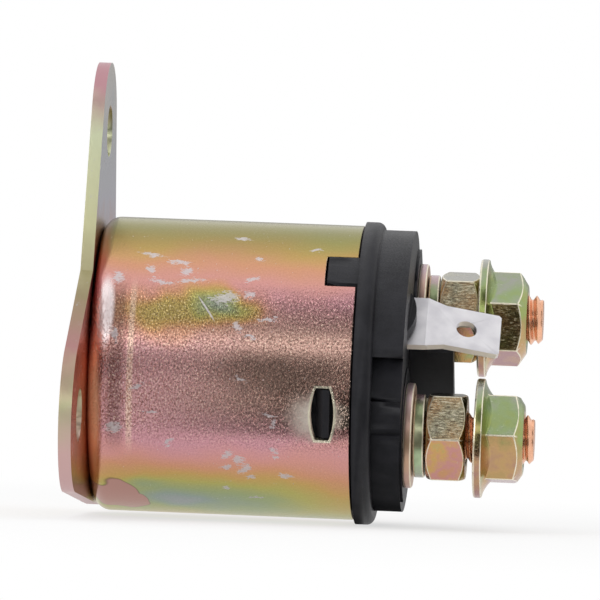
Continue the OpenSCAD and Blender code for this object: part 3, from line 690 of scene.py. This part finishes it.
def tinnedBlade(spec):
    r = Recipe("blade_tin")
    turn = math.radians(spec["turn"])
    across = (0, math.sin(turn), math.cos(turn))
    sideways = r.add("ShaderNodeVectorMath", {0: r.normal, 1: across}, 1, operation="DOT_PRODUCT")
    code, *ends = spec["sheared"]
    sheared = r.step(r.math("ABSOLUTE", sideways), *ends)
    clouds = r.noise(r.place, *spec["clouds"]["noise"])
    colour = r.mix(r.step(clouds, *spec["clouds"]["colour"]), paint(spec["face"]), paint(spec["cloud"]))
    colour = r.mix(sheared, colour, paint(code))
    rough = r.step(clouds, *spec["clouds"]["rough"])
    metal = r.step(sheared, 0, 1, 1, spec["shearedMetal"])
    grain = r.bump(r.noise(r.place, *spec["grain"]["noise"]), spec["grain"]["depth"])
    return r.finish(Base_Color=colour, Metallic=metal, Roughness=rough, Normal=grain)


# Plain metals and plastics are clouded between two tones. "roughSpread" is to either side of the given
# roughness.
metalLook = {
    "tone": (0.5, 3, 0.6), "toneEdge": (0.3, 0.7), "dull": 0.8, "fine": (3, 0.6), "roughSpread": 0.06,
}
plasticLook = {
    "tone": (0.35, 3, 0.6), "toneEdge": (0.3, 0.7), "brighter": 1.5, "haze": 0.002,
    "fine": (6, 3, 0.6), "roughSpread": 0.08, "relief": 0.5,
}
wireLook = {"between": "6E2F14", "turn": "C0692F", "edge": (-1, 0.2), "rough": 0.3, "depth": 0.05}


def plainMetal(name, code, rough, grain=0.003, scale=3.0, stretch=None, metal=1):
    r = Recipe(name)
    look = metalLook
    fine = r.noise(r.place, scale, *look["fine"], stretch)
    tone = r.step(r.noise(r.place, *look["tone"]), *look["toneEdge"])
    light = paint(code)
    dull = (*[c * look["dull"] for c in light[:3]], 1)
    spread = r.step(fine, *look["toneEdge"], rough - look["roughSpread"], rough + look["roughSpread"])
    colour = r.mix(tone, light, dull)
    return r.finish(Base_Color=colour, Metallic=metal, Roughness=spread, Normal=r.bump(fine, grain))


def plastic(name, code, rough, grain=0.01, gloss=0.2):
    r = Recipe(name)
    look = plasticLook
    fine = r.noise(r.place, *look["fine"])
    tone = r.step(r.noise(r.place, *look["tone"]), *look["toneEdge"])
    dark = paint(code)
    light = (*[c * look["brighter"] + look["haze"] for c in dark[:3]], 1)
    spread = r.step(fine, *look["toneEdge"], rough - look["roughSpread"], rough + look["roughSpread"])
    colour, normal = r.mix(tone, dark, light), r.bump(fine, grain, look["relief"])
    return r.finish(Base_Color=colour, Roughness=spread, Specular_IOR_Level=gloss, Normal=normal)


def enamelledWire(name, pitch):
    r = Recipe(name)
    look = wireLook
    turns = r.math("SINE", r.math("MULTIPLY", r.apart(r.place)[0], 2 * math.pi / pitch))
    colour = r.mix(r.step(turns, *look["edge"]), paint(look["between"]), paint(look["turn"]))
    normal = r.bump(turns, look["depth"])
    return r.finish(Base_Color=colour, Metallic=1, Roughness=look["rough"], Normal=normal)


copper = plainMetal("stud_copper", "FFC29E", 0.26, 0.006, 2.5, (0.4, 2, 2), 0.75)
wire = enamelledWire("copper_wire", 0.35)
iron = plainMetal("soft_iron", "9A9CA0", 0.36, 0.004, 2.0, (6, 1, 1))
steel = plainMetal("rod_steel", "B4B4B8", 0.25, 0.003, 2.0, (6, 1, 1))
springWire = plainMetal("spring_steel", "7E7E82", 0.3)
phenolic = plastic("bush_plastic", "5A3524", 0.45, 0.006, 0.4)
zinc = {name: chromateHardware(name, spec, hardwareWear) for name, spec in hardware.items()}

finishes = {
    "can_housing": chromateCan(canFinish),
    "mounting_bracket": chromateBracket(bracketFinish),
    "flat_washers": zinc["washer_chromate"],
    "blade_terminal": tinnedBlade(tinFinish),
    "terminal_cap": plastic("cap_plastic", "1C1C20", 0.46, 0.01, 0.26),
    "coil_bobbin": plastic("bobbin_plastic", "D9D3BF", 0.5),
    "coil_winding": wire,
    "coil_tape": plastic("coil_tape", "C9A03C", 0.35, 0.004, 0.4),
    "guide_tube": plainMetal("tube_brass", "CBA45A", 0.28, 0.003, 2.0, (1, 3, 3)),
    "fixed_core": iron,
    "flux_plate": iron,
    "sealing_gasket": plastic("gasket_rubber", "161616", 0.75, 0.015),
    "coil_lead": wire,
    "earth_lead": wire,
    "plunger": iron,
    "push_rod": steel,
    "rod_clip": steel,
    "contact_disc": copper,
    "rear_bush": phenolic,
    "front_bush": phenolic,
}

# Width of the rounded edge on each node that keeps its CAD shape, in mm
edges = {
    "mounting_bracket": 0.18, "can_housing": 0.26, "terminal_cap": 0.15, "flat_washers": 0.22,
    "blade_terminal": 0.08, "coil_bobbin": 0.15, "flux_plate": 0.1, "fixed_core": 0.1, "plunger": 0.12,
    "push_rod": 0.08, "rod_clip": 0.05, "contact_disc": 0.15, "rear_bush": 0.1, "front_bush": 0.1,
    "sealing_gasket": 0.1,
}
rounding = {
    "merge": 0.002,  # mm
    "segments": 2,
    "sharpest": 32,  # degrees, over which an edge is rounded
    # Nodes whose long thin triangles shade evenly only with the bevel's own normals
    "hardened": ("terminal_cap", "blade_terminal"),
}


def dressNode(name, material, width, spec):
    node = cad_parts[name]
    node.data.materials.clear()
    node.data.materials.append(material)
    if width:
        weld = node.modifiers.new("weld", "WELD")
        weld.merge_threshold = spec["merge"] * mm
        bevel = node.modifiers.new("round", "BEVEL")
        bevel.width = width * mm
        bevel.segments = spec["segments"]
        bevel.limit_method = "ANGLE"
        bevel.angle_limit = math.radians(spec["sharpest"])
        bevel.use_clamp_overlap = True
        if name in spec["hardened"]:
            bevel.harden_normals = True
        else:
            node.modifiers.new("shade", "WEIGHTED_NORMAL")


for name, material in finishes.items():
    dressNode(name, material, edges.get(name, 0), rounding)
print("frame dressed")


# The two studs' axes, from the middle of the can: far is the upper one, near the lower one.
terminalLean = math.radians(terminals["turn"])
studCentres = {
    side: Vector((sign * math.sin(terminalLean), sign * math.cos(terminalLean))) * terminals["spacing"] / 2
    for side, sign in (("far", 1), ("near", -1))
}


# A node's two copies stand at unlike heights: the lower starts at its box's low end, and the higher ends
# at its high end.
def startOf(node, lower, height):
    low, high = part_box(node)
    return low.x / mm if lower else high.x / mm - height


# A point at this radius and angle about an axis that is parallel to the can's
def around(centre, x, radius, angle):
    return (x, centre[0] - radius * math.sin(angle), centre[1] + radius * math.cos(angle))


roundSteps = 3
cornerPoints = roundSteps + 1  # what softened makes of each corner of a closed outline
longestReach = 0.45  # of the side that a rounding runs along


# Rounds an outline's corners. Each point comes back with its share of wear and painted highlight: 1 on a
# rounding, and 0 where that meets a flat.
def softened(points, reaches, closed=True):
    if not hasattr(reaches, "__len__"):
        reaches = [reaches] * len(points)
    points = [Vector(p) for p in points]
    made = []
    for i, corner in enumerate(points):
        if not closed and i in (0, len(points) - 1):
            made.append((*corner, 0))
            continue
        before, after = points[i - 1] - corner, points[(i + 1) % len(points)] - corner
        reach = min(reaches[i], longestReach * before.length, longestReach * after.length)
        start, end = corner + before.normalized() * reach, corner + after.normalized() * reach
        for step in range(cornerPoints):
            t = step / roundSteps
            at = start * (1 - t) ** 2 + corner * 2 * t * (1 - t) + end * t * t
            made.append((*at, 1 if 0 < step < roundSteps else 0))
    return made


mergeReach = 0.0008  # mm
ringWeight = 90  # how far the larger faces rule a closed ring's shading


# Corners are x, y and z in mm, and may have a fourth value, which is their share of wear and painted
# highlight.
def finishMesh(name, corners, faces, material, body="housing"):
    mesh = bpy.data.meshes.new(name)
    mesh.from_pydata([Vector(c[:3]) * mm for c in corners], [], faces)
    wearAndHighlight = mesh.attributes.new("wearAndHighlight", "FLOAT", "POINT")
    for item, corner in zip(wearAndHighlight.data, corners):
        item.value = corner[3] if len(corner) > 3 else 0
    work = bmesh.new()
    work.from_mesh(mesh)
    bmesh.ops.remove_doubles(work, verts=work.verts, dist=mergeReach * mm)
    rims = [edge for edge in work.edges if edge.is_boundary]
    if rims:
        bmesh.ops.holes_fill(work, edges=rims, sides=0)
    bmesh.ops.recalc_face_normals(work, faces=work.faces)
    work.to_mesh(mesh)
    work.free()
    mesh.shade_smooth()
    mesh.materials.append(material)
    piece = bpy.data.objects.new(name, mesh)
    bpy.context.scene.collection.objects.link(piece)
    if body:
        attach(piece, body)
    return piece


# Joins sections, each a list of corners. A ring closes on its first section, and a loop is a closed section.
def sweepMesh(name, sections, material, ring=True, loop=True, body="housing"):
    rows, across = len(sections), len(sections[0])
    faces = []
    for row in range(rows if ring else rows - 1):
        here, there = row * across, (row + 1) % rows * across
        for i in range(across if loop else across - 1):
            j = (i + 1) % across
            faces.append((here + i, here + j, there + j, there + i))
    corners = [corner for section in sections for corner in section]
    piece = finishMesh(name, corners, faces, material, body)
    if ring:
        smooth = piece.modifiers.new("shade", "WEIGHTED_NORMAL")
        smooth.weight = ringWeight
    return piece


# One turn of the thread, as (share of the pitch, share of the depth)
threadShape = [
    (0.0, 1.0), (0.06, 0.97), (0.11, 0.86), (0.36, 0.13), (0.42, 0.03),
    (0.5, 0.0), (0.58, 0.03), (0.64, 0.13), (0.89, 0.86), (0.94, 0.97),
]
studShape = {
    "crest": 2.97, "root": 2.45, "pitch": 1.0, "threadFrom": 38.3, "fadeIn": 0.8,
    "endRadius": 2.38, "columns": 64,
    "head": (31.69, 34.25), "headRadius": 4.5, "headRound": 0.3,
    "neckEnd": 36.25, "neck": 6.4, "neckRound": 0.4, "neckSteps": 16, "inner": 2,
}


def threadedStud(side, spec):
    centre = studCentres[side]
    start, end = spec["neckEnd"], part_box("contact_studs")[1].x / mm
    depth = spec["crest"] - spec["root"]
    rows = len(threadShape) * (math.ceil((end - start) / spec["pitch"]) + 2)
    corners, faces = [], []
    for column in range(spec["columns"]):
        turn = column / spec["columns"]
        for row in range(rows):
            share, deep = threadShape[row % len(threadShape)]
            x = start + spec["pitch"] * (row // len(threadShape) - 1 + share + turn)
            x = min(max(x, start), end)
            fade = min(max((x - spec["threadFrom"]) / spec["fadeIn"], 0), 1)
            radius = min(spec["crest"] - depth * (1 - deep) * fade, spec["endRadius"] + (end - x))
            corners.append(around(centre, x, radius, 2 * math.pi * turn))
    for column in range(spec["columns"]):
        there, shift = (column + 1) * rows, 0
        if column == spec["columns"] - 1:
            there, shift = 0, len(threadShape)
        for row in range(rows - 1 - shift):
            here = column * rows + row
            faces.append((here, here + 1, there + row + shift + 1, there + row + shift))
    piece = finishMesh("stud_" + side, corners, faces, copper)
    piece.modifiers.new("shade", "WEIGHTED_NORMAL")
    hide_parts("contact_studs")


# The round head inside the cap, and the square neck that goes into the cap's roof
def studHead(side, spec):
    centre = studCentres[side]
    back, front = spec["head"]
    inner, rim, neckEnd = spec["inner"], spec["headRadius"], spec["neckEnd"]
    half, cornerRadius = spec["neck"] / 2, spec["neckRound"]
    sections = []
    for quarter in range(4):
        for step in range(spec["neckSteps"]):
            lean = math.radians(-45 + 90 * step / spec["neckSteps"])
            flat = half / math.cos(lean)
            corner = (half - cornerRadius) * math.sqrt(2) * math.cos(math.pi / 4 - abs(lean)) + cornerRadius
            neck = min(flat, corner)
            outline = [
                (back, inner), (back, rim), (front, rim), (front, neck), (neckEnd, neck), (neckEnd, inner),
            ]
            outline = softened(outline, spec["headRound"], False)
            angle = math.radians(90 * quarter) + lean
            sections.append([around(centre, x, r, angle) for x, r, _ in outline])
    piece = sweepMesh("stud_head_" + side, sections, copper, loop=False)
    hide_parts("contact_studs")


# A hexagon with rounded corners, as (angle, radius, share of wear and painted highlight)
def hexOutline(across, cornerRadius, turn, flatSteps=7, cornerSteps=6):
    middle = (across / 2 - cornerRadius) / math.cos(math.radians(30))
    arcs = []
    for side in range(6):
        corner = math.radians(30 - turn + 60 * side)
        leans = [math.radians(-30 + 60 * step / cornerSteps) for step in range(cornerSteps + 1)]
        arcs.append([
            Vector((math.sin(corner), math.cos(corner))) * middle
            + Vector((math.sin(corner + lean), math.cos(corner + lean))) * cornerRadius
            for lean in leans
        ])
    outline = []
    for arc, following in zip(arcs, arcs[1:] + arcs[:1]):
        outline += [(*point, 1 if 0 < i < cornerSteps else 0) for i, point in enumerate(arc)]
        flat = [arc[-1].lerp(following[0], step / (flatSteps + 1)) for step in range(1, flatSteps + 1)]
        outline += [(*point, 0) for point in flat]
    return [(math.atan2(u, v), math.hypot(u, v), wearAndHighlight) for u, v, wearAndHighlight in outline]


plainNut = {
    "across": 10, "cornerRound": 0.24, "height": 4.7, "faceRadius": 4.85, "chamferSlope": 0.8,
    "edgeRound": 0.13, "bore": 3.0, "boreChamfer": 0.35, "turns": {"near": -3, "far": -11},
}


def hexNut(side, spec):
    back = startOf("hex_nuts", side == "near", spec["height"])
    front = back + spec["height"]
    bore, chamfer, face = spec["bore"], spec["boreChamfer"], spec["faceRadius"]
    sections = []
    for angle, radius, wearAndHighlight in hexOutline(spec["across"], spec["cornerRound"], spec["turns"][side]):
        lower = (radius - face) * spec["chamferSlope"]
        into = [(back + chamfer, bore), (back, bore + chamfer), (back, face)]
        sides = [(back + lower, radius), (front - lower, radius)]
        out = [(front, face), (front, bore + chamfer), (front - chamfer, bore)]
        outline = softened(into + sides + out, spec["edgeRound"])
        # Only the hexagon's sides and their ends take wear and a painted highlight.
        first, last = len(into) * cornerPoints, len(into + sides) * cornerPoints
        sections.append([
            (*around(studCentres[side], x, r, angle), max(worn, wearAndHighlight) if first <= i < last else 0)
            for i, (x, r, worn) in enumerate(outline)
        ])
    piece = sweepMesh("hex_nut_" + side, sections, zinc["nut_chromate"])
    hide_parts("hex_nuts")


flangeNut = {
    "across": 10, "cornerRound": 0.24, "height": 5.8, "faceRadius": 4.85, "crownRadius": 4.1, "crown": 0.5,
    "chamferSlope": 0.6, "edgeRound": 0.14, "rimRound": 0.3, "bore": 3.0, "boreChamfer": 0.3,
    "flangeRadius": 7.1, "flangeEdge": 0.98, "coneSlope": 0.12, "coneCurve": 0.2, "filletSteps": 6,
    "turns": {"near": 5, "far": 19},
}


def flangedNut(side, spec):
    back = startOf("flange_nuts", side == "far", spec["height"])
    front = back + spec["height"]
    bore, chamfer, face = spec["bore"], spec["boreChamfer"], spec["faceRadius"]
    rim, edge, crown = spec["flangeRadius"], spec["flangeEdge"], spec["crown"]
    sections = []
    for angle, radius, wearAndHighlight in hexOutline(spec["across"], spec["cornerRound"], spec["turns"][side]):
        fillet = []
        for step in range(1, spec["filletSteps"] + 1):
            inward = (rim - radius) * step / spec["filletSteps"]
            rise = spec["coneSlope"] * inward + spec["coneCurve"] * inward ** 2
            fillet.append((back + edge + rise, rim - inward))
        lower = crown + (radius - face) * spec["chamferSlope"]
        into = [(back + chamfer, bore), (back, bore + chamfer)]
        flange = [(back, rim), (back + edge, rim)]
        shoulder = [(front - lower, radius)]
        crownEdge = (front, spec["crownRadius"])
        top = [(front - crown, face), crownEdge, (front, bore + chamfer), (front - chamfer, bore)]
        others = [spec["edgeRound"]] * (len(fillet) + len(shoulder) + len(top))
        reaches = [spec["edgeRound"]] * len(into) + [spec["rimRound"]] * len(flange) + others
        outline = softened(into + flange + fillet + shoulder + top, reaches)

        # The rim's edges, the hexagon's corners and the chamfer's arcs take wear and a painted highlight. The
        # concave fillet keeps its film.
        rimFrom, rimTo = len(into), len(into + flange)
        atShoulder = rimTo + len(fillet)
        section = []
        for i, (x, r, worn) in enumerate(outline):
            corner, share = i // cornerPoints, 0
            if rimFrom <= corner < rimTo:
                share = worn
            elif corner == atShoulder - 1:
                share = wearAndHighlight
            elif corner == atShoulder:
                share = max(worn, wearAndHighlight)
            section.append((*around(studCentres[side], x, r, angle), share))
        sections.append(section)
    piece = sweepMesh("flange_nut_" + side, sections, zinc["flange_nut_chromate"])
    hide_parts("flange_nuts")


lockWasher = {
    "outer": 4.95, "inner": 3.2, "height": 1.6, "thick": 1.26, "edgeRound": 0.22, "columns": 72,
    "split": {"near": -20, "far": 200}, "splitGap": 10,  # degrees
}


def springWasher(side, spec):
    back = startOf("spring_washers", side == "near", spec["height"])
    rise = spec["height"] - spec["thick"]
    inner, outer = spec["inner"], spec["outer"]
    sections = []
    for column in range(spec["columns"] + 1):
        share = column / spec["columns"]
        angle = math.radians(spec["split"][side] + spec["splitGap"] / 2 + share * (360 - spec["splitGap"]))
        low = back + rise * share
        high = low + spec["thick"]
        outline = softened([(low, inner), (low, outer), (high, outer), (high, inner)], spec["edgeRound"])
        sections.append([(*around(studCentres[side], x, r, angle), worn) for x, r, worn in outline])
    finish = zinc["lock_washer_steel"]
    piece = sweepMesh("spring_washer_" + side, sections, finish, ring=False)
    piece.modifiers.new("shade", "WEIGHTED_NORMAL")
    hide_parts("spring_washers")


for side in studCentres:
    threadedStud(side, studShape)
    studHead(side, studShape)
    hexNut(side, plainNut)
    flangedNut(side, flangeNut)
    springWasher(side, lockWasher)
print("studs and nuts made")


springs = {
    "return_spring": {"wire": 0.6, "turns": 7.5, "between": ("plunger", "housing")},
    "contact_spring": {"wire": 0.6, "turns": 2.6, "between": ("plunger", "contact_bridge")},
}


def woundSpring(node, spec, stepsPerTurn=28, sides=10):
    low, high = (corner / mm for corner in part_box(node))
    half = spec["wire"] / 2
    coil = high.y - half
    climb = high.x - low.x - spec["wire"]
    steps = int(spec["turns"] * stepsPerTurn)
    sections = []
    for step in range(steps + 1):
        angle = 2 * math.pi * (step / stepsPerTurn)
        x = low.x + half + climb * step / steps
        leans = [2 * math.pi * side / sides for side in range(sides)]
        sections.append([
            around((0, 0), x + half * math.sin(lean), coil + half * math.cos(lean), angle) for lean in leans
        ])
    spring = sweepMesh(node + "_coil", sections, springWire, ring=False, body=None)
    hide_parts(node)
    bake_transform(spring)


for node, spec in springs.items():
    woundSpring(node, spec)
print("springs wound")
